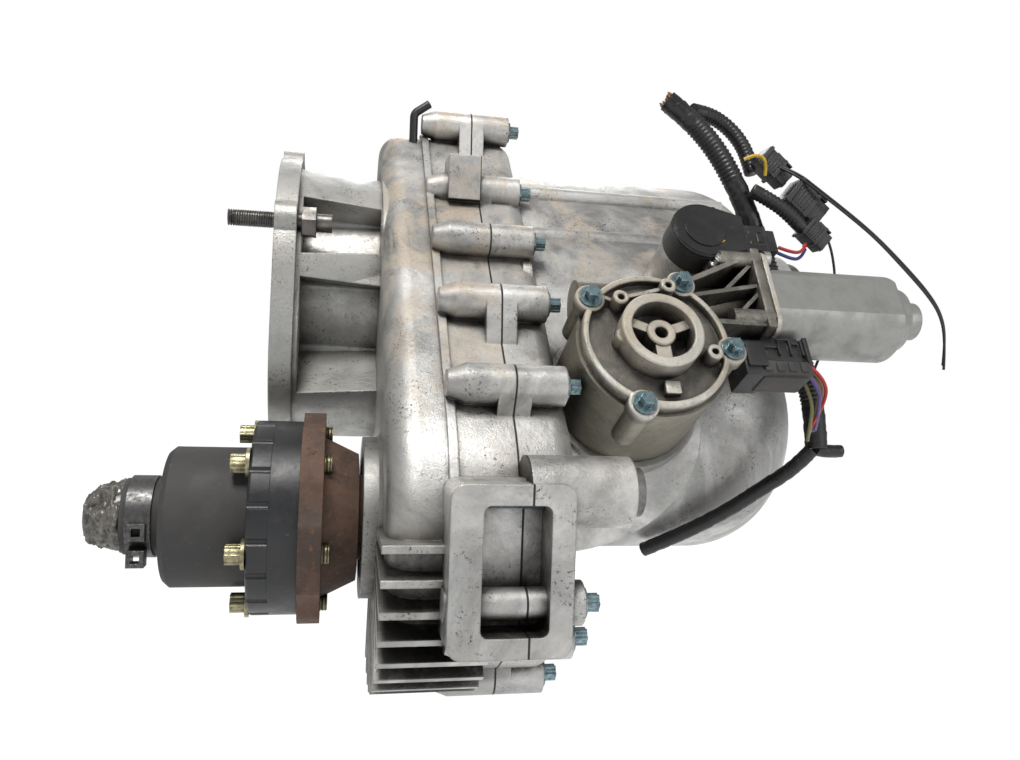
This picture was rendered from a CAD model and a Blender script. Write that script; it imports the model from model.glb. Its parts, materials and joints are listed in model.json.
import bpy, bmesh, json, math, random
from mathutils import Matrix, Vector, noise


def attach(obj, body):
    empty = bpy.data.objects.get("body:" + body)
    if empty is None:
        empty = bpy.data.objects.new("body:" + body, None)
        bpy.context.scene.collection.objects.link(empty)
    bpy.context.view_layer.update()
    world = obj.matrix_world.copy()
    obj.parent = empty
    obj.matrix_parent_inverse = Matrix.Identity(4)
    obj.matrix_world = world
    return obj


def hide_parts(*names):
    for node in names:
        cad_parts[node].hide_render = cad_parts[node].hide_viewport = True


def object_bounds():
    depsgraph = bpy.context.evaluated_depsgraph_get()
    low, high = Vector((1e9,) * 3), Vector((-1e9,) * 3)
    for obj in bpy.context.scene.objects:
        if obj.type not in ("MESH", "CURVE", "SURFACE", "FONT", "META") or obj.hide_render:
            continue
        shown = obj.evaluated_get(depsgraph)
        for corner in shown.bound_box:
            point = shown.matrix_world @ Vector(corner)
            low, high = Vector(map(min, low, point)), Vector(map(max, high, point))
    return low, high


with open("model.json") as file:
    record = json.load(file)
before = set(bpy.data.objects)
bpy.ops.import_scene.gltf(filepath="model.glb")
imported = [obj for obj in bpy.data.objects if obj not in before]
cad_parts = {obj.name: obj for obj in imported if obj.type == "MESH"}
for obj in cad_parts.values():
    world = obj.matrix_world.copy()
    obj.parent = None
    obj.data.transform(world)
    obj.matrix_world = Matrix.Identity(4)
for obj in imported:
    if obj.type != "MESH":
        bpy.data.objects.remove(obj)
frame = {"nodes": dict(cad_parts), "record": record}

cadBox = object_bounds()
nodes = frame["nodes"]
print("frame loaded:", len(nodes), "nodes")

# camera and light
view = {"place": (0.040, -0.6538, -0.0585), "turn": 11.6, "roll": 2.0, "lens": 30.4, "sensor": 36, "near": 0.01}
turn, roll = math.radians(view["turn"]), math.radians(view["roll"])
ahead = Vector((math.sin(turn), math.cos(turn), 0))
right = Vector((math.cos(turn), -math.sin(turn), 0))
up = Vector((0, 0, 1))
camX = right * math.cos(roll) + up * math.sin(roll)
camY = up * math.cos(roll) - right * math.sin(roll)
camData = bpy.data.cameras.new("mainCamera")
camData.lens = view["lens"]
camData.sensor_width = view["sensor"]
camData.clip_start = view["near"]
cam = bpy.data.objects.new("mainCamera", camData)
cam.matrix_world = Matrix((camX, camY, -ahead)).transposed().to_4x4()
cam.location = view["place"]
bpy.context.collection.objects.link(cam)
bpy.context.scene.camera = cam
bpy.context.scene.view_settings.view_transform = "Standard"

lampTarget = (0.15, -0.08, -0.03)
lamps = {
    "keyLamp": {"place": (-0.3, -1.0, 1.7), "size": 0.7, "watts": 34, "tint": (1, 0.98, 0.95)},
    "fillLamp": {"place": (1.3, -1.5, 0.5), "size": 1.2, "watts": 8, "tint": (1, 1, 1)},
    "backLamp": {"place": (0.4, 1.4, 1.2), "size": 1.2, "watts": 14, "tint": (1, 1, 1)},
}


def areaLamp(name, place, size, watts, tint):
    data = bpy.data.lights.new(name, "AREA")
    data.shape = "DISK"
    data.size = size
    data.energy = watts
    data.color = tint
    lamp = bpy.data.objects.new(name, data)
    lamp.location = place
    lamp.rotation_euler = (Vector(lampTarget) - Vector(place)).to_track_quat("-Z", "Y").to_euler()
    bpy.context.collection.objects.link(lamp)


for name, look in lamps.items():
    areaLamp(name, **look)
print("camera and lamps placed")


# node helpers
class Tree:
    def __init__(self, name):
        self.mat = bpy.data.materials.new(name)
        self.mat.use_nodes = True
        self.nt = self.mat.node_tree
        self.bsdf = self.nt.nodes["Principled BSDF"]
        self.coord = self.nt.nodes.new("ShaderNodeTexCoord").outputs["Object"]

    def new(self, kind, **values):
        node = self.nt.nodes.new(kind)
        for key, value in values.items():
            setattr(node, key, value)
        return node

    def link(self, a, b):
        self.nt.links.new(a, b)

    def put(self, socket, value):
        if hasattr(value, "is_linked"):
            self.link(value, socket)
        else:
            socket.default_value = value

    def noise(self, scale, detail=4, rough=0.6, distortion=0.0, vector=None):
        node = self.new("ShaderNodeTexNoise")
        self.link(vector or self.coord, node.inputs["Vector"])
        node.inputs["Scale"].default_value = scale
        node.inputs["Detail"].default_value = detail
        node.inputs["Roughness"].default_value = rough
        node.inputs["Distortion"].default_value = distortion
        return node.outputs["Fac"]

    def ramp(self, value, low, high, a=0.0, b=1.0):
        node = self.new("ShaderNodeMapRange", interpolation_type="SMOOTHSTEP")
        self.link(value, node.inputs["Value"])
        for key, number in (("From Min", low), ("From Max", high), ("To Min", a), ("To Max", b)):
            node.inputs[key].default_value = number
        return node.outputs["Result"]

    def mix(self, factor, a, b):
        node = self.new("ShaderNodeMix", data_type="RGBA")
        self.put(node.inputs[0], factor)
        self.put(node.inputs[6], a if hasattr(a, "is_linked") else (*a, 1))
        self.put(node.inputs[7], b if hasattr(b, "is_linked") else (*b, 1))
        return node.outputs[2]

    def raw(self, operation, a, b=0.0):
        node = self.new("ShaderNodeMath", operation=operation)
        self.put(node.inputs[0], a)
        self.put(node.inputs[1], b)
        return node.outputs[0]

    def math(self, operation, a, b=0.0):
        result = self.raw(operation, a, b)
        result.node.use_clamp = operation in ("MULTIPLY", "ADD")
        return result

    def occlusion(self, distance):
        node = self.new("ShaderNodeAmbientOcclusion", samples=6)
        node.inputs["Distance"].default_value = distance
        return node.outputs["AO"]

    def parts(self, vector):
        node = self.new("ShaderNodeSeparateXYZ")
        self.link(vector, node.inputs[0])
        return node.outputs["X"], node.outputs["Y"], node.outputs["Z"]

    def reach(self, direction, origin):
        node = self.new("ShaderNodeVectorMath", operation="DOT_PRODUCT")
        self.link(self.coord, node.inputs[0])
        node.inputs[1].default_value = direction
        return self.raw("SUBTRACT", node.outputs["Value"], sum(a * b for a, b in zip(direction, origin)))

    def axes(self):
        return self.parts(self.coord)

    def bump(self, value, strength, distance, rounding=None):
        node = self.new("ShaderNodeBump")
        self.link(value, node.inputs["Height"])
        node.inputs["Strength"].default_value = strength
        node.inputs["Distance"].default_value = distance
        if rounding:
            edge = self.new("ShaderNodeBevel", samples=4)
            edge.inputs["Radius"].default_value = rounding
            self.link(edge.outputs[0], node.inputs["Normal"])
        self.link(node.outputs[0], self.bsdf.inputs["Normal"])

    def finish(self, color, metallic=0.0, roughness=0.5):
        self.put(self.bsdf.inputs["Base Color"], color if hasattr(color, "is_linked") else (*color, 1))
        self.put(self.bsdf.inputs["Metallic"], metallic)
        self.put(self.bsdf.inputs["Roughness"], roughness)
        return self.mat


# cast finishes: colours, then noise scales from the broadest stain to the finest grain
castLook = {
    "metal": (0.66, 0.655, 0.64), "shade": (0.29, 0.29, 0.285), "dull": (0.46, 0.455, 0.44),
    "film": (0.50, 0.42, 0.33), "grime": (0.035, 0.031, 0.027), "pocket": (0.030, 0.028, 0.025),
    "broad": 13, "filmPatch": 24, "cluster": 34, "patchy": 55, "pit": 240, "grit": 420, "dot": 620, "grain": 1100,
    "hollowReach": 0.016, "pocketReach": 0.035, "relief": 0.0007, "rounding": 0.0014,
}
coverLook = {**castLook, "metal": (0.66, 0.645, 0.60), "shade": (0.36, 0.345, 0.305),
             "dull": (0.48, 0.45, 0.39), "film": (0.46, 0.40, 0.31), "rounding": 0.0009}
shellLook = {**castLook, "metal": (0.30, 0.285, 0.23), "shade": (0.15, 0.14, 0.11),
             "dull": (0.22, 0.20, 0.15), "film": (0.20, 0.17, 0.12)}


def castAluminium(name, look=castLook, film=0.6, soot=0.8, metallic=0.75, band=None, toned=None, seam=None):
    t = Tree(name)
    broad = t.noise(look["broad"], 6, 0.66, 0.6)
    patchy = t.noise(look["patchy"], 6, 0.72, 0.4)
    fine = t.noise(look["grain"], 3, 0.6)
    color = t.mix(t.ramp(broad, 0.38, 0.64), look["metal"], look["shade"])
    color = t.mix(t.ramp(patchy, 0.42, 0.70, 0, 0.7), color, look["dull"])

    # dried film on the faces that look up and towards the input end
    normal = t.parts(t.new("ShaderNodeNewGeometry").outputs["Normal"])
    facing = t.math("ADD", t.math("MULTIPLY", normal[2], 0.40), t.math("MULTIPLY", normal[0], -0.40))
    facing = t.math("ADD", facing, 0.42)
    if band:
        level = t.axes()[band["axis"]]
        facing = t.math("MULTIPLY", facing, t.ramp(level, band["low"], band["high"], 0.25, 1.3))
    spread = t.noise(look["filmPatch"], 6, 0.74, 0.7)
    cover = t.math("MULTIPLY", facing, t.ramp(spread, 0.62 - 0.25 * film, 0.78 - 0.25 * film))
    color = t.mix(t.math("MULTIPLY", cover, 0.9), color, look["film"])
    grit = t.math("MULTIPLY", cover, t.ramp(t.noise(look["grit"], 5, 0.8), 0.54, 0.64, 0, 0.7))
    color = t.mix(grit, color, tuple(v * 0.5 for v in look["film"]))

    # one end of the casting in its own tone
    if toned:
        reach = t.ramp(t.reach(toned["direction"], toned["origin"]), toned["low"], toned["high"])
        color = t.mix(t.math("MULTIPLY", reach, t.ramp(patchy, 0.3, 0.6, 0.65, 0.95)), color, toned["tone"])

    # grime in the hollows, then fine dark dots in clusters
    hollow = t.ramp(t.occlusion(look["hollowReach"]), 0.30, 0.86, 0.95 * soot, 0)
    color = t.mix(t.math("MULTIPLY", hollow, t.ramp(patchy, 0.25, 0.6, 0.55, 1)), color, look["grime"])
    dots = t.ramp(t.noise(look["dot"], 4, 0.7), 0.565, 0.63, 0, 0.9)
    clusters = t.ramp(t.noise(look["cluster"], 5, 0.75, 0.5), 0.48, 0.64, 0.12, 1)
    color = t.mix(t.math("MULTIPLY", dots, clusters), color, look["grime"])

    # dark line of the case joint, and oily pockets low on the case
    if seam:
        across = t.raw("ABSOLUTE", t.raw("SUBTRACT", t.axes()[0], seam["joint"]))
        color = t.mix(t.ramp(across, seam["half"] * 0.6, seam["half"], 0.95, 0), color, look["grime"])
        lowness = t.ramp(t.axes()[2], seam["low"], seam["floor"])
        sunk = t.math("MULTIPLY", lowness, t.ramp(t.occlusion(look["pocketReach"]), 0.45, 0.85, 1, 0))
        sunk = t.math("MULTIPLY", sunk, t.ramp(patchy, 0.30, 0.55, 0.45, 1))
        color = t.mix(sunk, color, look["pocket"])
    rough = t.ramp(t.math("ADD", patchy, t.math("MULTIPLY", fine, 0.3)), 0.3, 0.95, 0.28, 0.60)
    pits = t.math("MULTIPLY", t.noise(look["pit"], 5, 0.7), 0.5)
    t.bump(t.math("ADD", t.math("MULTIPLY", fine, 0.5), pits), 0.5, look["relief"], look["rounding"])
    return t.finish(color, t.raw("SUBTRACT", metallic, t.math("MULTIPLY", cover, 0.6)), rough)


def plainMetal(name, base, dark, metallic=0.9, low=0.28, high=0.5, scale=120, rounding=0.0005, wear=0.7,
               thread=None):
    t = Tree(name)
    patchy = t.noise(scale, 5, 0.65, 0.2)
    color = t.mix(t.ramp(patchy, 0.35, 0.72), base, dark)
    hollow = t.ramp(t.occlusion(0.004), 0.3, 0.9, wear, 0)
    color = t.mix(hollow, color, (0.03, 0.028, 0.025))
    relief = t.math("MULTIPLY", t.noise(scale * 9, 3), 0.25)
    if thread:
        along, blend = t.axes()[0], 0.0002
        wave = t.math("SINE", t.raw("MULTIPLY", along, 2 * math.pi / thread["pitch"]))
        starts = t.ramp(along, thread["start"] - blend, thread["start"] + blend)
        ends = t.ramp(along, thread["end"] - blend, thread["end"] + blend, 1, 0)
        inside = t.math("MULTIPLY", starts, ends)
        relief = t.math("ADD", relief, t.math("MULTIPLY", inside, t.ramp(wave, -1, 1)))
        valley = t.math("MULTIPLY", inside, t.ramp(wave, -0.2, -0.9, 0, 0.8))
        color = t.mix(valley, color, (0.02, 0.018, 0.016))
    t.bump(relief, 0.6 if thread else 0.2, 0.0006 if thread else 0.0003, rounding)
    return t.finish(color, metallic, t.ramp(patchy, 0.3, 0.75, low, high))


def rustyIron(name):
    t = Tree(name)
    broad = t.noise(22, 6, 0.7, 0.6)
    fine = t.noise(240, 6, 0.75)
    color = t.mix(t.ramp(broad, 0.38, 0.66), (0.125, 0.074, 0.052), (0.062, 0.042, 0.034))  # brown scale
    color = t.mix(t.ramp(fine, 0.52, 0.70, 0, 0.7), color, (0.24, 0.115, 0.060))  # orange bloom
    color = t.mix(t.ramp(t.noise(90, 5, 0.8), 0.58, 0.68, 0, 0.75), color, (0.028, 0.022, 0.020))  # oil
    t.bump(t.math("ADD", fine, broad), 0.7, 0.0008, 0.0008)
    return t.finish(color, 0.15, t.ramp(fine, 0.3, 0.7, 0.6, 0.9))


def paintedBlack(name):
    t = Tree(name)
    worn = t.noise(60, 6, 0.7, 0.3)
    color = t.mix(t.ramp(worn, 0.55, 0.75, 0, 0.6), (0.016, 0.017, 0.019), (0.045, 0.04, 0.036))
    color = t.mix(t.ramp(t.noise(350, 4, 0.8), 0.64, 0.70, 0, 0.8), color, (0.12, 0.08, 0.05))  # rust specks
    t.bump(t.noise(500, 3), 0.2, 0.0003, 0.0006)
    return t.finish(color, 0.0, t.ramp(worn, 0.3, 0.7, 0.30, 0.5))


def softBlack(name, base=(0.030, 0.030, 0.031), pale=(0.095, 0.090, 0.084), low=0.5, high=0.75, dusty=0.5,
              grain=420):
    t = Tree(name)
    broad = t.noise(28, 6, 0.68, 0.5)
    color = t.mix(t.ramp(broad, 0.40, 0.80, 0, dusty), base, pale)
    color = t.mix(t.ramp(t.noise(180, 5, 0.8), 0.60, 0.72, 0, 0.6 * dusty), color, (0.15, 0.13, 0.105))
    t.bump(t.noise(grain, 4), 0.22, 0.0004, 0.0006)
    return t.finish(color, 0.0, t.ramp(broad, 0.3, 0.7, low, high))


# actuator frame: its hub face leans back by this angle
actuator = {"lean": 30, "hubFace": (0.212, -0.220, -0.028)}
tilt = math.radians(actuator["lean"])
outward = Vector((0, -math.cos(tilt), math.sin(tilt)))
upward = Vector((0, math.sin(tilt), math.cos(tilt)))
hubFace = Vector(actuator["hubFace"])

# what each slot and each single piece wears
coverFloor = {"direction": (0, math.cos(tilt), -math.sin(tilt)), "origin": actuator["hubFace"],
              "low": 0.0105, "high": 0.0150, "tone": (0.115, 0.11, 0.095)}
bellTone = {"direction": (-1, 0, 0), "origin": (0, 0, 0), "low": -0.080, "high": -0.062,
            "tone": (0.37, 0.37, 0.355)}
caseSeam = {"joint": 0.134, "half": 0.0007, "low": -0.12}
finishes = {
    "cast_case": castAluminium("castCase"),
    "cast_cover": castAluminium("castCover", coverLook, film=0.8, soot=1.0, metallic=0.8, toned=coverFloor),
    "steel": plainMetal("groundSteel", (0.56, 0.56, 0.56), (0.36, 0.35, 0.33)),
    "dark_steel": plainMetal("darkSteel", (0.22, 0.215, 0.21), (0.10, 0.095, 0.09), 0.8, low=0.35, high=0.6),
    "zinc_bolt": plainMetal("blueZinc", (0.30, 0.42, 0.46), (0.11, 0.15, 0.165), 0.9, low=0.22, high=0.42,
                            scale=350),
    "olive_bolt": plainMetal("oliveZinc", (0.42, 0.39, 0.24), (0.16, 0.14, 0.085), 0.85, low=0.28, high=0.5,
                             scale=300, thread={"start": 0.038, "end": 0.050, "pitch": 0.0015}),
    "rusty": rustyIron("rustedIron"),
    "black_paint": paintedBlack("jointPaint"),
    "rubber": softBlack("bootRubber", (0.035, 0.034, 0.034), (0.085, 0.080, 0.074), 0.55, 0.8, dusty=0.7),
    "motor_steel": plainMetal("motorSteel", (0.33, 0.335, 0.32), (0.24, 0.24, 0.23), 0.55, low=0.36, high=0.52,
                              scale=70, rounding=0.001),
    "black_plastic": softBlack("mouldedPlastic", (0.013, 0.013, 0.014), (0.04, 0.04, 0.04), 0.30, 0.48,
                               dusty=0.4, grain=700),
    "friction": softBlack("frictionLining", (0.16, 0.12, 0.08), (0.24, 0.19, 0.13), 0.6, 0.8),
    "wire_black": softBlack("wireCover", (0.011, 0.011, 0.012), (0.035, 0.034, 0.033), 0.28, 0.5, dusty=0.35),
}
ownFinish = {
    "front_case": castAluminium("castFront", castLook, film=0.70, soot=0.95, metallic=0.85,
                                band={"axis": 2, "low": -0.12, "high": 0.02}, toned=bellTone,
                                seam={**caseSeam, "floor": -0.20}),
    "rear_case": castAluminium("castRear", castLook, film=0.60, soot=0.95, metallic=0.85,
                               band={"axis": 2, "low": -0.04, "high": 0.08},
                               seam={**caseSeam, "low": -0.10, "floor": -0.18}),
    "actuator_housing": castAluminium("castShell", shellLook, film=0.5, soot=0.9, metallic=0.7),
    "motor_plate": castAluminium("castPlate", coverLook, film=0.8, soot=0.7, metallic=0.8),
    "mounting_stud": plainMetal("studSteel", (0.20, 0.19, 0.18), (0.09, 0.085, 0.08), 0.85, low=0.3, high=0.5,
                                thread={"start": -0.03, "end": 0.0, "pitch": 0.0015}),
    "boot_clamp": plainMetal("clampSteel", (0.13, 0.13, 0.13), (0.06, 0.058, 0.055), 0.7, low=0.3, high=0.55,
                             scale=400),
    "vent_pipe": softBlack("ventRubber", (0.012, 0.012, 0.012), (0.03, 0.03, 0.03), 0.3, 0.5, dusty=0.3),
}
slotOf = {part["node"]: part["material_slot"] for part in frame["record"]["subparts"]}
for name, thing in nodes.items():
    look = ownFinish.get(name, finishes[slotOf[name]])
    for place in thing.material_slots:
        place.material = look
    if not thing.material_slots:
        thing.data.materials.append(look)
print("finishes set")


# shape helpers
home = bpy.context.collection
root = "case_body"


def framed(depth, along=0.0, rise=0.0):
    turned = Matrix((Vector((1, 0, 0)), upward, outward)).transposed().to_4x4()
    return Matrix.Translation(hubFace - outward * depth + upward * rise + Vector((along, 0, 0))) @ turned


def turnedPlace(place, degreesY=0.0, degreesX=0.0):
    spin = Matrix.Rotation(math.radians(degreesY), 4, "Y") @ Matrix.Rotation(math.radians(degreesX), 4, "X")
    return Matrix.Translation(place) @ spin


def polar(radius, degrees, middle=(0, 0)):
    angle = math.radians(degrees)
    return middle[0] + radius * math.cos(angle), middle[1] + radius * math.sin(angle)


def onBody(name, mesh, look, body):
    thing = bpy.data.objects.new(name, mesh)
    home.objects.link(thing)
    mesh.materials.append(look)
    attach(thing, body)
    return thing


def fromMesh(name, verts, faces, look, body=root, smooth=True):
    mesh = bpy.data.meshes.new(name)
    mesh.from_pydata(verts, [], faces)
    mesh.validate()
    mesh.polygons.foreach_set("use_smooth", [smooth] * len(mesh.polygons))
    return onBody(name, mesh, look, body)


def fromBmesh(name, bm, look, body=root, sharp=40):
    bmesh.ops.recalc_face_normals(bm, faces=bm.faces)
    mesh = bpy.data.meshes.new(name)
    bm.to_mesh(mesh)
    bm.free()
    mesh.polygons.foreach_set("use_smooth", [True] * len(mesh.polygons))
    mesh.set_sharp_from_angle(angle=math.radians(sharp))
    return onBody(name, mesh, look, body)


def softened(bm, edges, soft):
    bmesh.ops.bevel(bm, geom=edges, offset=soft, segments=2, profile=0.6, affect="EDGES")


def addBlock(bm, place, centre, size, soft=0.0006):
    made = bmesh.ops.create_cube(bm, size=1)
    for vert in made["verts"]:
        vert.co = place @ (Vector([vert.co[i] * size[i] for i in range(3)]) + Vector(centre))
    softened(bm, list({edge for vert in made["verts"] for edge in vert.link_edges}), soft)


def addBlocks(bm, place, blocks):
    for centre, size, soft in blocks:
        addBlock(bm, place, centre, size, soft)


def addRow(bm, place, row):
    x, y, z = row["first"]
    for n in range(row["count"]):
        addBlock(bm, place, (x + n * row["step"], y, z), row["size"], row["soft"])


def addPrism(bm, place, outlinePoints, low, high, soft=0.0006):
    lower = [bm.verts.new(place @ Vector((x, y, low))) for x, y in outlinePoints]
    upper = [bm.verts.new(place @ Vector((x, y, high))) for x, y in outlinePoints]
    top, bottom = bm.faces.new(upper), bm.faces.new(lower)
    for a in range(len(lower)):
        b = (a + 1) % len(lower)
        bm.faces.new((lower[a], lower[b], upper[b], upper[a]))
    softened(bm, list(top.edges) + list(bottom.edges), soft)


def addDrum(bm, place, centre, radius, depth, sides=28, tip=None):
    bmesh.ops.create_cone(bm, cap_ends=True, segments=sides, radius1=radius, radius2=radius if tip is None else tip,
                          depth=depth, matrix=place @ Matrix.Translation(centre))


# cords: a sleeve is swept along its route, with rings where it is ribbed and tape where it is wrapped
def routeCurve(name, points, radius=0.0):
    data = bpy.data.curves.new(name, "CURVE")
    data.dimensions = "3D"
    data.resolution_u = 24
    spline = data.splines.new("NURBS")
    spline.points.add(len(points) - 1)
    for knot, place in zip(spline.points, points):
        knot.co = (*place, 1)
    spline.order_u = 3
    spline.use_endpoint_u = True
    data.bevel_depth = radius
    data.bevel_resolution = 5
    data.use_fill_caps = True
    thing = bpy.data.objects.new(name, data)
    home.objects.link(thing)
    return thing


def wireAlong(name, points, radius, look):
    wire = routeCurve(name, points, radius)
    wire.data.materials.append(look)
    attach(wire, root)
    return wire


def routeOf(points):
    guide = routeCurve("guide", points)
    line = [vert.co.copy() for vert in bpy.data.meshes.new_from_object(guide).vertices]
    bpy.data.objects.remove(guide)
    return line


def evenly(line, step):
    placed, total, travelled = [line[0]], sum((b - a).length for a, b in zip(line, line[1:])), 0.0
    count = max(2, round(total / step))
    target = total / count
    for a, b in zip(line, line[1:]):
        run = (b - a).length
        while run > 0 and travelled + run >= target * len(placed) - 1e-9 and len(placed) < count:
            placed.append(a.lerp(b, (target * len(placed) - travelled) / run))
        travelled += run
    return placed + [line[-1]], total


def sleeveMesh(name, line, radiusAt, look, step=0.0006, around=22, body=root):
    places, total = evenly(line, step)
    last = len(places) - 1
    verts, faces, side = [], [], None
    for n, place in enumerate(places):
        ahead = (places[min(n + 1, last)] - places[max(n - 1, 0)]).normalized()
        side = (ahead.orthogonal() if side is None else side - ahead * side.dot(ahead)).normalized()
        other = ahead.cross(side)
        for k in range(around):
            angle = 2 * math.pi * k / around
            reach = radiusAt(total * n / last, angle, total)
            verts.append(place + (side * math.cos(angle) + other * math.sin(angle)) * reach)
    for n in range(last):
        for k in range(around):
            a, b = n * around + k, n * around + (k + 1) % around
            faces.append((a, b, b + around, a + around))
    for ring in (0, last):
        verts.append(places[ring])
        for k in range(around):
            faces.append((len(verts) - 1, ring * around + k, ring * around + (k + 1) % around))
    return fromMesh(name, verts, faces, look, body)


sleeveLook = {"pitch": 0.0029, "depth": 0.13, "tapeLap": 0.011, "tapeRipple": 0.05}


def sleeveRadius(radius, taped=()):
    def at(along, angle, total):
        if any(low <= along <= high for low, high in taped):
            lap = (along / sleeveLook["tapeLap"] + angle / (2 * math.pi)) % 1
            ripple = noise.noise(Vector((along * 260, math.cos(angle) * 2.2, math.sin(angle) * 2.2)))
            return radius * (0.97 - 0.05 * lap + sleeveLook["tapeRipple"] * ripple)
        wave = 0.5 + 0.5 * math.cos(2 * math.pi * along / sleeveLook["pitch"])
        return radius * (1 - sleeveLook["depth"] * (1 - wave ** 0.6))
    return at


conduitLook = finishes["wire_black"]
harness = {
    "trunk": {"radius": 0.0075, "length": 0.262, "taped": ((0, 0.024), (0.072, 0.112), (0.232, 0.30)), "points": [
        (0.256, -0.100, 0.135), (0.272, -0.103, 0.123), (0.289, -0.108, 0.103), (0.303, -0.112, 0.078),
        (0.315, -0.113, 0.052), (0.325, -0.1145, 0.026), (0.336, -0.117, -0.003), (0.345, -0.125, -0.032),
        (0.349, -0.136, -0.058), (0.350, -0.141, -0.078), (0.3503, -0.1435, -0.096)]},
    "tail": {"radius": 0.005, "length": 0.132, "taped": ((0, 0.2),), "points": [
        (0.345, -0.146, -0.0975), (0.335, -0.144, -0.109), (0.317, -0.139, -0.122), (0.297, -0.129, -0.139),
        (0.274, -0.112, -0.157), (0.253, -0.092, -0.172)]},
    "stub": {"radius": 0.0045, "length": 0.020, "taped": ((0, 0.2),), "points": [
        (0.352, -0.1395, -0.097), (0.361, -0.138, -0.099), (0.372, -0.1365, -0.098)]},
    "loop": {"radius": 0.0055, "length": 0.072, "taped": ((0, 0.008),), "points": [
        (0.276, -0.097, 0.131), (0.2895, -0.093, 0.131), (0.302, -0.0915, 0.126), (0.312, -0.093, 0.1166),
        (0.318, -0.0965, 0.104), (0.3195, -0.101, 0.091)]},
    "branch": {"radius": 0.005, "length": 0.043, "taped": ((0, 0.006), (0.036, 0.05)), "points": [
        (0.3085, -0.1245, 0.073), (0.319, -0.126, 0.068), (0.333, -0.127, 0.060), (0.345, -0.126, 0.050)]},
}
for name, look in harness.items():
    shape = sleeveRadius(look["radius"], look["taped"])
    sleeveMesh(f"{name}Sleeve", routeOf(look["points"]), shape, conduitLook)
    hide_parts(f"harness_{name}")

wireRadius = 0.0009
wireSet = {
    "wire_a": {"length": 0.197, "points": [
        (0.331, -0.113, 0.094), (0.340, -0.125, 0.086), (0.356, -0.130, 0.073), (0.376, -0.131, 0.060),
        (0.397, -0.131, 0.046), (0.418, -0.131, 0.028), (0.438, -0.131, 0.010), (0.450, -0.130, -0.004),
        (0.454, -0.130, -0.022), (0.4535, -0.130, -0.041)]},
    "wire_b": {"length": 0.198, "points": [
        (0.331, -0.110, 0.096), (0.341, -0.122, 0.089), (0.357, -0.127, 0.076), (0.377, -0.128, 0.063),
        (0.398, -0.128, 0.049), (0.420, -0.128, 0.031), (0.441, -0.128, 0.012), (0.453, -0.127, -0.003),
        (0.4565, -0.127, -0.020), (0.455, -0.127, -0.038)]},
    "wire_c": {"length": 0.135, "points": [
        (0.362, -0.112, 0.0605), (0.371, -0.105, 0.057), (0.379, -0.101, 0.050), (0.384, -0.100, 0.039),
        (0.387, -0.100, 0.022), (0.384, -0.103, 0.002), (0.376, -0.112, -0.018), (0.364, -0.122, -0.034),
        (0.356, -0.128, -0.045)]},
}
for name, look in wireSet.items():
    wireAlong(f"{name}Line", look["points"], wireRadius, conduitLook)
    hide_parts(name)
leadSet = {"radius": 0.0025, "points": [(0.306, -0.146, 0.030), (0.313, -0.135, 0.033), (0.3185, -0.1195, 0.0375)]}
lead = wireAlong("sensorLead", leadSet["points"], leadSet["radius"], conduitLook)
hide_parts("sensor_lead")
print("cords laid")


# short coloured wires between the plugs, the motor and the sensor
def insulation(name, tint):
    t = Tree(name)
    grime = t.ramp(t.noise(600, 4, 0.7), 0.45, 0.75, 0, 0.55)
    color = t.mix(grime, tint, tuple(value * 0.35 + 0.02 for value in tint))
    t.bump(t.noise(1500, 2), 0.1, 0.0002)
    return t.finish(color, 0.0, t.ramp(t.noise(300, 3), 0.3, 0.7, 0.32, 0.5))


tints = {"red": (0.42, 0.025, 0.02), "blue": (0.05, 0.06, 0.28), "yellow": (0.60, 0.38, 0.02),
         "tan": (0.25, 0.17, 0.09), "violet": (0.10, 0.06, 0.22), "green": (0.16, 0.15, 0.05)}
insulations = {name: insulation(f"{name}Wire", tint) for name, tint in tints.items()}
shortRadius = 0.0011
shortWires = [
    ("red", [(0.318, -0.144, 0.033), (0.326, -0.146, 0.030), (0.336, -0.143, 0.031), (0.343, -0.134, 0.038)]),
    ("blue", [(0.318, -0.142, 0.030), (0.327, -0.144, 0.026), (0.336, -0.141, 0.027), (0.344, -0.132, 0.035)]),
    ("yellow", [(0.300, -0.128, 0.092), (0.307, -0.131, 0.096), (0.315, -0.131, 0.092), (0.316, -0.127, 0.083)]),
    ("red", [(0.314, -0.190, -0.043), (0.324, -0.192, -0.050), (0.331, -0.186, -0.064), (0.328, -0.172, -0.082)]),
    ("tan", [(0.314, -0.187, -0.047), (0.325, -0.187, -0.054), (0.330, -0.178, -0.068), (0.331, -0.166, -0.086)]),
    ("violet", [(0.314, -0.191, -0.049), (0.321, -0.193, -0.057), (0.326, -0.186, -0.068), (0.334, -0.168, -0.083)]),
    ("green", [(0.314, -0.187, -0.053), (0.320, -0.188, -0.064), (0.325, -0.178, -0.079), (0.334, -0.160, -0.090)]),
    ("tan", [(0.314, -0.184, -0.041), (0.326, -0.183, -0.048), (0.335, -0.176, -0.062), (0.336, -0.162, -0.084)]),
]
strands = [wireAlong(f"shortWire{count}", points, shortRadius, insulations[tint])
           for count, (tint, points) in enumerate(shortWires)]

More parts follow.
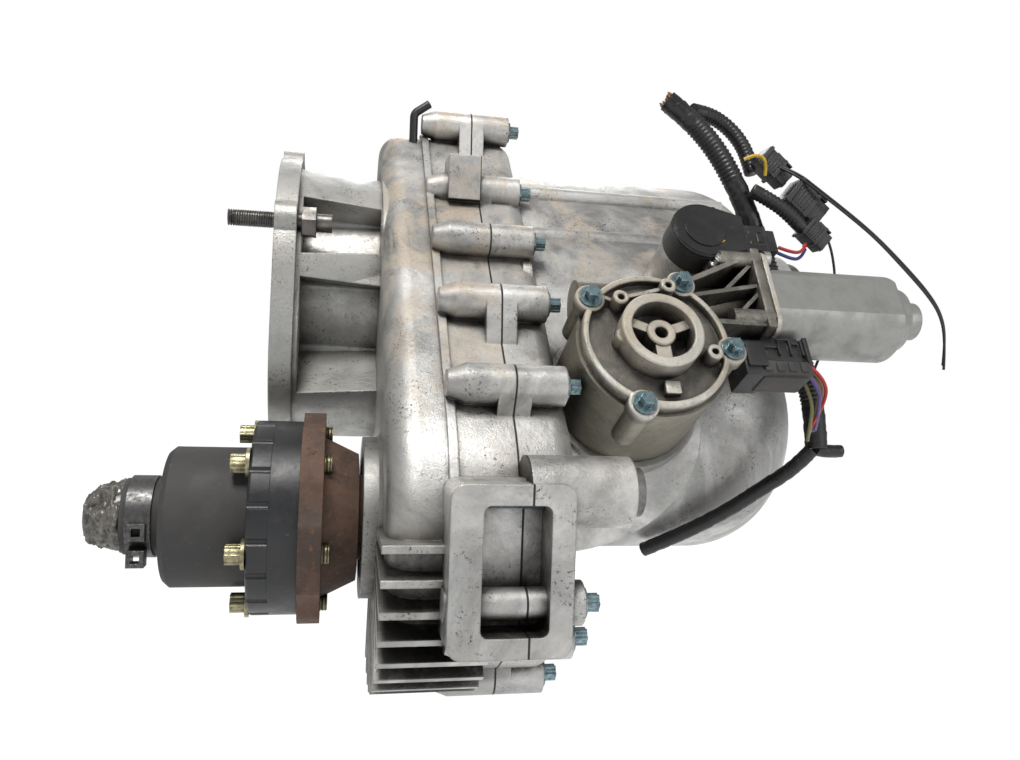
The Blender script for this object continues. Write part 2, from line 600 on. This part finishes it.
# cut end of the trunk: rings of cores, each pushed out by its own amount
cutEnd = {"rings": ((0.0, 1), (0.0024, 6), (0.0048, 11)), "seed": 7, "jacket": (0.00105, 0.006),
          "core": (0.0006, 0.0016), "push": (-0.0008, 0.0014)}
copper = plainMetal("copperStrand", (0.55, 0.22, 0.10), (0.25, 0.10, 0.05), 0.9, low=0.35, high=0.6, scale=900)
cutStart = Vector(harness["trunk"]["points"][0])
cutAxis = (cutStart - Vector(harness["trunk"]["points"][1])).normalized()
cutPlace = Matrix.Translation(cutStart) @ cutAxis.to_track_quat("Z", "Y").to_matrix().to_4x4()
random.seed(cutEnd["seed"])
cores, jackets = bmesh.new(), bmesh.new()
for ring, count in cutEnd["rings"]:
    for k in range(count):
        angle = 2 * math.pi * k / count + ring * 300
        reach = random.uniform(*cutEnd["push"])
        x, y = ring * math.cos(angle), ring * math.sin(angle)
        addDrum(jackets, cutPlace, (x, y, reach - 0.002), *cutEnd["jacket"], 10)
        addDrum(cores, cutPlace, (x, y, reach + 0.0012), *cutEnd["core"], 8)
strands.append(fromBmesh("cutJackets", jackets, insulations["tan"]))
strands.append(fromBmesh("cutCores", cores, copper))
print("wire ends made")

# motor connector: each block is its centre, size and edge
motorPlugSet = {
    "place": (0.292, -0.186, -0.045), "lean": -30,
    "collar": [((-0.0145, 0.0, -0.001), (0.015, 0.0235, 0.0235), 0.0012),
               ((-0.0145, -0.0125, 0.0), (0.012, 0.003, 0.016), 0.0008)],
    "shell": [((0.0075, 0.001, 0.0055), (0.027, 0.021, 0.0145), 0.0010),
              ((-0.0035, -0.0015, 0.0095), (0.010, 0.019, 0.007), 0.0008)],
    "fins": {"count": 3, "step": 0.0075, "first": (0.002, -0.0102, 0.0065), "size": (0.0014, 0.0030, 0.0105),
             "soft": 0.0004},
    "latch": [((0.0195, -0.001, 0.0045), (0.0028, 0.0228, 0.0175), 0.0008),
              ((0.003, -0.008, 0.0128), (0.020, 0.0055, 0.0024), 0.0008),
              ((0.012, -0.0095, 0.0105), (0.006, 0.004, 0.004), 0.0008)],
    "base": [((0.0035, -0.001, -0.0075), (0.0335, 0.0215, 0.0095), 0.0014)],
    "grips": {"count": 4, "step": 0.0075, "first": (-0.008, -0.0118, -0.0075), "size": (0.0045, 0.0022, 0.0060),
              "soft": 0.0006},
    "sole": [((0.0035, -0.001, -0.0125), (0.028, 0.017, 0.002), 0.0006)],
}
plasticLook = finishes["black_plastic"]
dustyLook = softBlack("dustyPlastic", (0.030, 0.029, 0.028), (0.11, 0.10, 0.09), 0.5, 0.7, dusty=0.8, grain=500)
place = turnedPlace(motorPlugSet["place"], 0, motorPlugSet["lean"])
bm = bmesh.new()
addBlocks(bm, place, motorPlugSet["collar"] + motorPlugSet["shell"])
addRow(bm, place, motorPlugSet["fins"])
addBlocks(bm, place, motorPlugSet["latch"])
motorPlug = fromBmesh("motorPlug", bm, plasticLook)
bm = bmesh.new()
addBlocks(bm, place, motorPlugSet["base"])
addRow(bm, place, motorPlugSet["grips"])
addBlocks(bm, place, motorPlugSet["sole"])
motorPlugBase = fromBmesh("motorPlugBase", bm, dustyLook)
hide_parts("motor_connector")

# harness plugs: place, size and turn of each, then their details in shares of that size
plugSet = {
    "plugs": [((0.331, -0.108, 0.093), (0.026, 0.016, 0.016), 40),
              ((0.350, -0.117, 0.068), (0.030, 0.018, 0.020), 38),
              ((0.354, -0.1245, 0.046), (0.020, 0.015, 0.015), 40)],
    "shell": [((-0.18, 0, 0), (0.62, 0.92, 0.92), 0.0009), ((0.28, 0, 0), (0.40, 0.80, 0.80), 0.0009),
              ((0.10, 0, 0), (0.10, 1, 1), 0.0005), ((-0.42, 0, 0), (0.10, 1, 1), 0.0005)],
    "ribs": {"count": 5, "first": -0.34, "step": 0.085, "out": -0.47, "size": (0.030, 0.05, 0.70), "soft": 0.0002},
    "latch": [((0.05, -0.30, 0.46), (0.55, 0.30, 0.09), 0.0005)],
    "seals": {"sides": (-0.22, 0.22), "out": -0.15, "end": 0.475, "radius": 0.0024, "depth": 0.05},
}


def ofSize(blocks, size):
    return [([a * b for a, b in zip(centre, size)], [a * b for a, b in zip(shares, size)], soft)
            for centre, shares, soft in blocks]


redSeal = insulation("redSeal", (0.28, 0.02, 0.02))
ribSet, sealSet = plugSet["ribs"], plugSet["seals"]
bm, seals = bmesh.new(), bmesh.new()
for centre, size, spin in plugSet["plugs"]:
    place = turnedPlace(centre, spin)
    across = place @ Matrix.Rotation(math.pi / 2, 4, "Y")
    x, y, z = size
    ribSize = [a * b for a, b in zip(ribSet["size"], size)]
    addBlocks(bm, place, ofSize(plugSet["shell"], size))
    for n in range(ribSet["count"]):
        ribAt = (ribSet["first"] * x + n * ribSet["step"] * x, ribSet["out"] * y, 0)
        addBlock(bm, place, ribAt, ribSize, ribSet["soft"])
    addBlocks(bm, place, ofSize(plugSet["latch"], size))
    for side in sealSet["sides"]:
        addDrum(seals, across, (-side * z, sealSet["out"] * y, sealSet["end"] * x), sealSet["radius"],
                sealSet["depth"] * x, 14)
plugBodies = fromBmesh("plugBodies", bm, plasticLook)
plugSeals = fromBmesh("plugSeals", seals, redSeal)
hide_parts("harness_plugs")

sensorPlugSet = {
    "place": (0.030, 0.0875, 0.087),
    "blocks": [((-0.0035, 0, 0), (0.0150, 0.0195, 0.0138), 0.0010),
               ((0.0070, 0, -0.0005), (0.0078, 0.0165, 0.0115), 0.0010),
               ((0.0035, 0, 0), (0.0018, 0.0198, 0.0138), 0.0005),
               ((-0.003, 0.004, 0.0062), (0.010, 0.0022, 0.0018), 0.0004),
               ((-0.003, -0.004, 0.0062), (0.010, 0.0022, 0.0018), 0.0004),
               ((-0.001, 0, 0.0060), (0.0035, 0.010, 0.0022), 0.0005)],
}
bm = bmesh.new()
addBlocks(bm, framed(*sensorPlugSet["place"]), sensorPlugSet["blocks"])
sensorPlug = fromBmesh("sensorPlugBody", bm, plasticLook)
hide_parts("sensor_plug")

# range sensor: cap, lid, screw boss, screw and a dab of paint
sensorSet = {
    "cap": {"place": (0.0345, 0.048, 0.087), "radius": 0.0205, "arc": range(62, 300, 7), "depth": 0.0150,
            "soft": 0.0012, "corners": [(0.0105, -0.0190), (0.0270, -0.0150), (0.0275, 0.0135), (0.0120, 0.0185)]},
    "lid": {"place": (0.0200, 0.048, 0.087), "share": 0.93, "depth": 0.0012, "soft": 0.0004},
    "boss": {"place": (0.0340, 0.048, 0.087), "middle": (0.006, -0.0215), "radius": 0.0068, "depth": 0.0115,
             "soft": 0.0008},
    "screw": {"place": (0.0222, 0.054, 0.0655), "washer": (-0.0006, 0.0058, 0.0012, 32),
              "head": (0.0016, 0.0040, 0.0036, 32, 0.0034), "socket": (0.0035, 0.0018, 0.0004, 6)},
    "dab": {"place": (0.01878, 0.0575, 0.0790), "long": 0.0019, "short": 0.0013, "sides": 18},
}
cap, lid, boss, screw, dab = (sensorSet[key] for key in ("cap", "lid", "boss", "screw", "dab"))
capOutline = [polar(cap["radius"], degrees) for degrees in cap["arc"]] + cap["corners"]
lidOutline = [(x * lid["share"], y * lid["share"]) for x, y in capOutline]
bossOutline = [polar(boss["radius"], degrees, boss["middle"]) for degrees in range(0, 360, 15)]
bm = bmesh.new()
for look, outline in ((cap, capOutline), (lid, lidOutline), (boss, bossOutline)):
    addPrism(bm, framed(*look["place"]), outline, 0.0, look["depth"], look["soft"])
fromBmesh("sensorLid", bm, plasticLook)
screwLook = plainMetal("screwSteel", (0.62, 0.62, 0.60), (0.32, 0.31, 0.29), 0.95, low=0.22, high=0.4, scale=500)
bm = bmesh.new()
for key in ("washer", "head", "socket"):
    out, *sizes = screw[key]
    addDrum(bm, framed(*screw["place"]), (0, 0, out), *sizes)
fromBmesh("sensorScrew", bm, screwLook)
dabOutline = []
for n in range(dab["sides"]):
    angle = 2 * math.pi * n / dab["sides"]
    wide = dab["long"] * math.cos(angle) * (1 + 0.3 * math.sin(2 * angle))
    dabOutline.append(framed(*dab["place"]) @ Vector((wide, dab["short"] * math.sin(angle), 0)))
fromMesh("paintDot", dabOutline, [tuple(range(dab["sides"]))], insulations["yellow"], root, False)

[tuple(p) for p in reversed(routeOf(harness["trunk"]["points"]))]
[tuple(p) for p in routeOf(harness["tail"]["points"])]
[tuple(p) for p in routeOf(harness["loop"]["points"])]
print("connectors and sensor made")


# screw threads, grown from one Geometry Nodes tree: a row of rings on the shank
def socketTree(name, inputs):
    tree = bpy.data.node_groups.new(name, "GeometryNodeTree")
    for label, kind, value in inputs:
        made = tree.interface.new_socket(label, in_out="INPUT", socket_type=f"NodeSocket{kind}")
        if value is not None:
            made.default_value = value
    tree.interface.new_socket("Geometry", in_out="OUTPUT", socket_type="NodeSocketGeometry")
    return tree, tree.nodes.new("NodeGroupInput"), tree.nodes.new("NodeGroupOutput")


def threadTree(ringSides=36, crestSides=6):
    tree, given, result = socketTree("threadRings", (
        ("Start", "Vector", (0, 0, 0)), ("Turns", "Int", 8), ("Pitch", "Float", 0.0015), ("Radius", "Float", 0.005),
        ("Crest", "Float", 0.0004), ("Finish", "Material", None)))
    new, link = tree.nodes.new, tree.links.new
    step, row = new("ShaderNodeCombineXYZ"), new("GeometryNodeMeshLine")
    link(given.outputs["Pitch"], step.inputs["X"])
    link(given.outputs["Turns"], row.inputs["Count"])
    link(given.outputs["Start"], row.inputs["Start Location"])
    link(step.outputs[0], row.inputs["Offset"])
    loop, crest = new("GeometryNodeCurvePrimitiveCircle"), new("GeometryNodeCurvePrimitiveCircle")
    loop.inputs["Resolution"].default_value = ringSides
    crest.inputs["Resolution"].default_value = crestSides
    link(given.outputs["Radius"], loop.inputs["Radius"])
    link(given.outputs["Crest"], crest.inputs["Radius"])
    ring, turned = new("GeometryNodeCurveToMesh"), new("GeometryNodeTransform")
    link(loop.outputs["Curve"], ring.inputs["Curve"])
    link(crest.outputs["Curve"], ring.inputs["Profile Curve"])
    link(ring.outputs["Mesh"], turned.inputs["Geometry"])
    turned.inputs["Rotation"].default_value = (0, math.radians(90), 0)
    spread, solid = new("GeometryNodeInstanceOnPoints"), new("GeometryNodeRealizeInstances")
    dress = new("GeometryNodeSetMaterial")
    link(row.outputs["Mesh"], spread.inputs["Points"])
    link(turned.outputs["Geometry"], spread.inputs["Instance"])
    link(spread.outputs["Instances"], solid.inputs["Geometry"])
    link(solid.outputs["Geometry"], dress.inputs["Geometry"])
    link(given.outputs["Finish"], dress.inputs["Material"])
    link(dress.outputs["Geometry"], result.inputs["Geometry"])
    return tree


def grown(tree, values):
    host = bpy.data.objects.new("host", bpy.data.meshes.new("host"))
    home.objects.link(host)
    growth = host.modifiers.new("growth", "NODES")
    growth.node_group = tree
    for item in tree.interface.items_tree:
        if item.in_out == "INPUT" and item.name in values:
            growth[item.identifier] = values[item.name]
    made = bpy.data.meshes.new_from_object(host.evaluated_get(bpy.context.evaluated_depsgraph_get()))
    bpy.data.objects.remove(host)
    return made


frontAxis = (-0.149439, -0.140332)
studAt = {"radius": 0.089, "degrees": 154}
boltCircle = {"radius": 0.047, "first": 15, "step": 60}
studPlace = polar(studAt["radius"], studAt["degrees"])
boltPlaces = [polar(boltCircle["radius"], degrees, frontAxis)
              for degrees in range(boltCircle["first"], 360, boltCircle["step"])]
threads = {
    "studThread": {"body": "case_body", "look": ownFinish["mounting_stud"], "Radius": 0.0049, "Turns": 18,
                   "Pitch": 0.0015, "starts": [(-0.0285, *studPlace)]},
    "boltThreads": {"body": "front_train", "look": finishes["olive_bolt"], "Radius": 0.0049, "Turns": 5,
                    "Pitch": 0.0014, "starts": [(0.0345, y, z) for y, z in boltPlaces]},
}
threadRings = threadTree()
for name, look in threads.items():
    bm = bmesh.new()
    for start in look["starts"]:
        values = {key: look[key] for key in ("Radius", "Turns", "Pitch")}
        bm.from_mesh(grown(threadRings, {**values, "Start": start, "Finish": look["look"]}))
    fromBmesh(name, bm, look["look"], look["body"], 80)
print("threads grown")


# actuator cover: rimmed plate, posts, webbed hub and the fan of ribs beside the motor plate
def addRing(bm, place, centre, outer, inner, low, high, sides=72, outerEdge=0.0008, innerEdge=0.0006):
    section = ((outer, low), (outer, high - outerEdge), (outer - outerEdge, high), (inner + innerEdge, high),
               (inner, high - innerEdge), (inner, low))
    rounds, count = [], len(section)
    for n in range(sides):
        x, y = polar(1, 360 * n / sides)
        rounds.append([bm.verts.new(place @ Vector((centre[0] + r * x, centre[1] + r * y, z))) for r, z in section])
    for a, b in zip(rounds, rounds[1:] + rounds[:1]):
        for k in range(count):
            bm.faces.new((a[k], b[k], b[(k + 1) % count], a[(k + 1) % count]))


def addWall(bm, place, start, end, thick, low, high, endLow=None, endHigh=None):
    along = (Vector(end) - Vector(start)).normalized()
    over = Vector((-along.y, along.x)) * thick / 2
    ends = ((start, low, high), (end, low if endLow is None else endLow, high if endHigh is None else endHigh))
    corners = []
    for spot, bottom, top in ends:
        for side in (-1, 1):
            x, y = spot[0] + side * over.x, spot[1] + side * over.y
            corners += [bm.verts.new(place @ Vector((x, y, z))) for z in (bottom, top)]
    for face in ((0, 1, 3, 2), (4, 6, 7, 5), (0, 4, 5, 1), (2, 3, 7, 6), (1, 5, 7, 3), (0, 2, 6, 4)):
        bm.faces.new([corners[k] for k in face])


# depths run back from the hub face; a wall is its two ends, thickness, bottom and top
cover = {
    "rim": {"radius": 0.042, "inner": 0.0385, "low": -0.018, "high": -0.010},
    "plate": {"inset": 0.0005, "depth": -0.0165, "thick": 0.003, "top": -0.0152},
    "ears": {"radius": 0.043, "degrees": (145, 62, -7, -109), "size": (0.0085, 0.0033), "high": -0.0098},
    "hub": {"outer": (0.0232, 0.0176, 0.0), "inner": (0.0082, 0.0036, -0.0035), "from": 0.0072, "to": 0.0185,
            "webs": ((158, 0.0055), (22, 0.0055), (270, 0.0085)), "webTop": -0.0050},
    "posts": {"at": ((0.0099, 0.0327), (-0.0192, 0.0227), (-0.0207, -0.002), (0.0297, -0.0099)),
              "size": (0.0046, 0.0019), "high": -0.0045},
    "ridges": (((0.0060, 0.0320), (-0.0150, 0.0255), 0.0022, -0.0085),
               ((-0.0195, 0.0230), (-0.0300, 0.0270), 0.0022, -0.0105)),
    "pad": ((0.004, -0.0300, -0.0125), (0.009, 0.008, 0.005), 0.0012),
    "ribFoot": (-0.046, -0.048),
    "ribs": (((0.022, 0.043), (0.0765, 0.0700), 0.0032, -0.018, -0.0170),
             ((0.020, 0.033), (0.0765, 0.0470), 0.0026, -0.016, -0.0185),
             ((0.022, 0.035), (0.0330, 0.0170), 0.0024, -0.014, -0.0160),
             ((0.033, 0.0180), (0.0765, 0.0190), 0.0030, -0.016, -0.0185),
             ((0.050, 0.0400), (0.0765, 0.0660), 0.0024, -0.020, -0.0185),
             ((0.050, 0.0185), (0.0765, 0.0440), 0.0024, -0.022, -0.0190)),
    "flange": ((0.0755, 0.0440, -0.0440), (0.0060, 0.0570, 0.0570), 0.0014),
    "lugs": {"at": ((0.0660, 0.0660), (0.0660, 0.0240)), "out": 0.0205, "radius": 0.0052, "depth": 0.026},
}
rim, plate, earSet, hub, postSet, lugs = (cover[key] for key in ("rim", "plate", "ears", "hub", "posts", "lugs"))
face, middle = framed(0), (0, 0)
bm = bmesh.new()
addDrum(bm, face, (0, 0, plate["depth"]), rim["radius"] - plate["inset"], plate["thick"], 72)
addRing(bm, face, middle, rim["radius"], rim["inner"], rim["low"], rim["high"])
for degrees in earSet["degrees"]:
    addRing(bm, face, polar(earSet["radius"], degrees), *earSet["size"], rim["low"], earSet["high"], 32)
for key, sides in (("outer", 72), ("inner", 40)):
    outer, inner, high = hub[key]
    addRing(bm, face, middle, outer, inner, plate["top"], high, sides)
for degrees, wide in hub["webs"]:
    addWall(bm, face, polar(hub["from"], degrees), polar(hub["to"], degrees), wide, plate["top"], hub["webTop"])
for post in postSet["at"]:
    addRing(bm, face, post, *postSet["size"], plate["top"], postSet["high"], 28)
for start, end, thick, high in cover["ridges"]:
    addWall(bm, face, start, end, thick, plate["top"], high)
addBlock(bm, face, *cover["pad"])
startFoot, endFoot = cover["ribFoot"]
for start, end, thick, high, endHigh in cover["ribs"]:
    addWall(bm, face, start, end, thick, startFoot, high, endFoot, endHigh)
addBlock(bm, face, *cover["flange"])
for x, y in lugs["at"]:
    addDrum(bm, face @ Matrix.Rotation(math.pi / 2, 4, "Y"), (lugs["out"], y, x), lugs["radius"], lugs["depth"], 24)
coverBody = fromBmesh("actuatorCoverCasting", bm, finishes["cast_cover"], root, 35)
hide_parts("actuator_cover")
print("actuator cover made")

# torn, greasy end of the stub
tear = {"from": -0.0876, "to": -0.0660, "tip": 0.0122, "root": 0.0182, "lumps": 0.0034, "nick": 0.0022,
        "slices": 40, "step": 0.0005, "around": 72}


def tornRadius(along, angle, total):
    place = Vector((along * 150, math.cos(angle) * 2.1, math.sin(angle) * 2.1))
    lumps = noise.turbulence(place, 5, False, noise_basis="PERLIN_ORIGINAL") * tear["lumps"]
    nick = tear["nick"] * max(0.0, noise.noise(place * 1.7 + Vector((5, 1, 2))))
    share = min(1.0, along / (total * 0.62)) ** 0.7
    return tear["tip"] + (tear["root"] - tear["tip"]) * share + lumps - nick


greasy = plainMetal("greasyEnd", (0.20, 0.19, 0.17), (0.045, 0.041, 0.036), 0.4, low=0.25, high=0.6, scale=260,
                    rounding=0.0004, wear=0.9)
tearLine = [Vector((tear["from"] + (tear["to"] - tear["from"]) * n / tear["slices"], *frontAxis))
            for n in range(tear["slices"] + 1)]
sleeveMesh("stubTear", tearLine, tornRadius, greasy, tear["step"], tear["around"], "stub")
print("stub end made")

# floor and world: white to the camera, pale grey as light
stageSet = {"drop": 0.16, "reach": 12.0, "floorTone": (0.86, 0.86, 0.86), "glow": 1.09, "glowShare": 0.90,
            "lightTone": (0.86, 0.87, 0.88), "light": 0.42, "shown": 1.0}


def paleStage():
    t = Tree("paleStage")
    path = t.new("ShaderNodeLightPath")
    mirrored = t.math("MAXIMUM", path.outputs["Is Glossy Ray"], path.outputs["Is Transmission Ray"])
    seen = t.math("MAXIMUM", path.outputs["Is Camera Ray"], mirrored)
    t.finish(stageSet["floorTone"], 0, 0.9)
    glow = t.new("ShaderNodeEmission")
    glow.inputs["Color"].default_value = (1, 1, 1, 1)
    glow.inputs["Strength"].default_value = stageSet["glow"]
    both = t.new("ShaderNodeMixShader")
    t.link(t.math("MULTIPLY", seen, stageSet["glowShare"]), both.inputs[0])
    t.link(t.bsdf.outputs[0], both.inputs[1])
    t.link(glow.outputs[0], both.inputs[2])
    t.link(both.outputs[0], t.nt.nodes["Material Output"].inputs["Surface"])
    return t.mat


half, base = stageSet["reach"], cadBox[0][2] - stageSet["drop"]
floorMesh = bpy.data.meshes.new("stageFloor")
floorMesh.from_pydata([(-half, -half, base), (half, -half, base), (half, half, base), (-half, half, base)], [],
                      [(0, 1, 2, 3)])
floor = bpy.data.objects.new("stageFloor", floorMesh)
home.objects.link(floor)
floor.data.materials.append(paleStage())

world = bpy.data.worlds.new("studio")
bpy.context.scene.world = world
world.use_nodes = True
wt = world.node_tree
lit = wt.nodes["Background"]
lit.inputs["Color"].default_value = (*stageSet["lightTone"], 1)
lit.inputs["Strength"].default_value = stageSet["light"]
shown = wt.nodes.new("ShaderNodeBackground")
shown.inputs["Color"].default_value = (1, 1, 1, 1)
shown.inputs["Strength"].default_value = stageSet["shown"]
pathNode = wt.nodes.new("ShaderNodeLightPath")
worldMix = wt.nodes.new("ShaderNodeMixShader")
wt.links.new(pathNode.outputs["Is Camera Ray"], worldMix.inputs[0])
wt.links.new(lit.outputs[0], worldMix.inputs[1])
wt.links.new(shown.outputs[0], worldMix.inputs[2])
wt.links.new(worldMix.outputs[0], wt.nodes["World Output"].inputs["Surface"])
print("stage set")
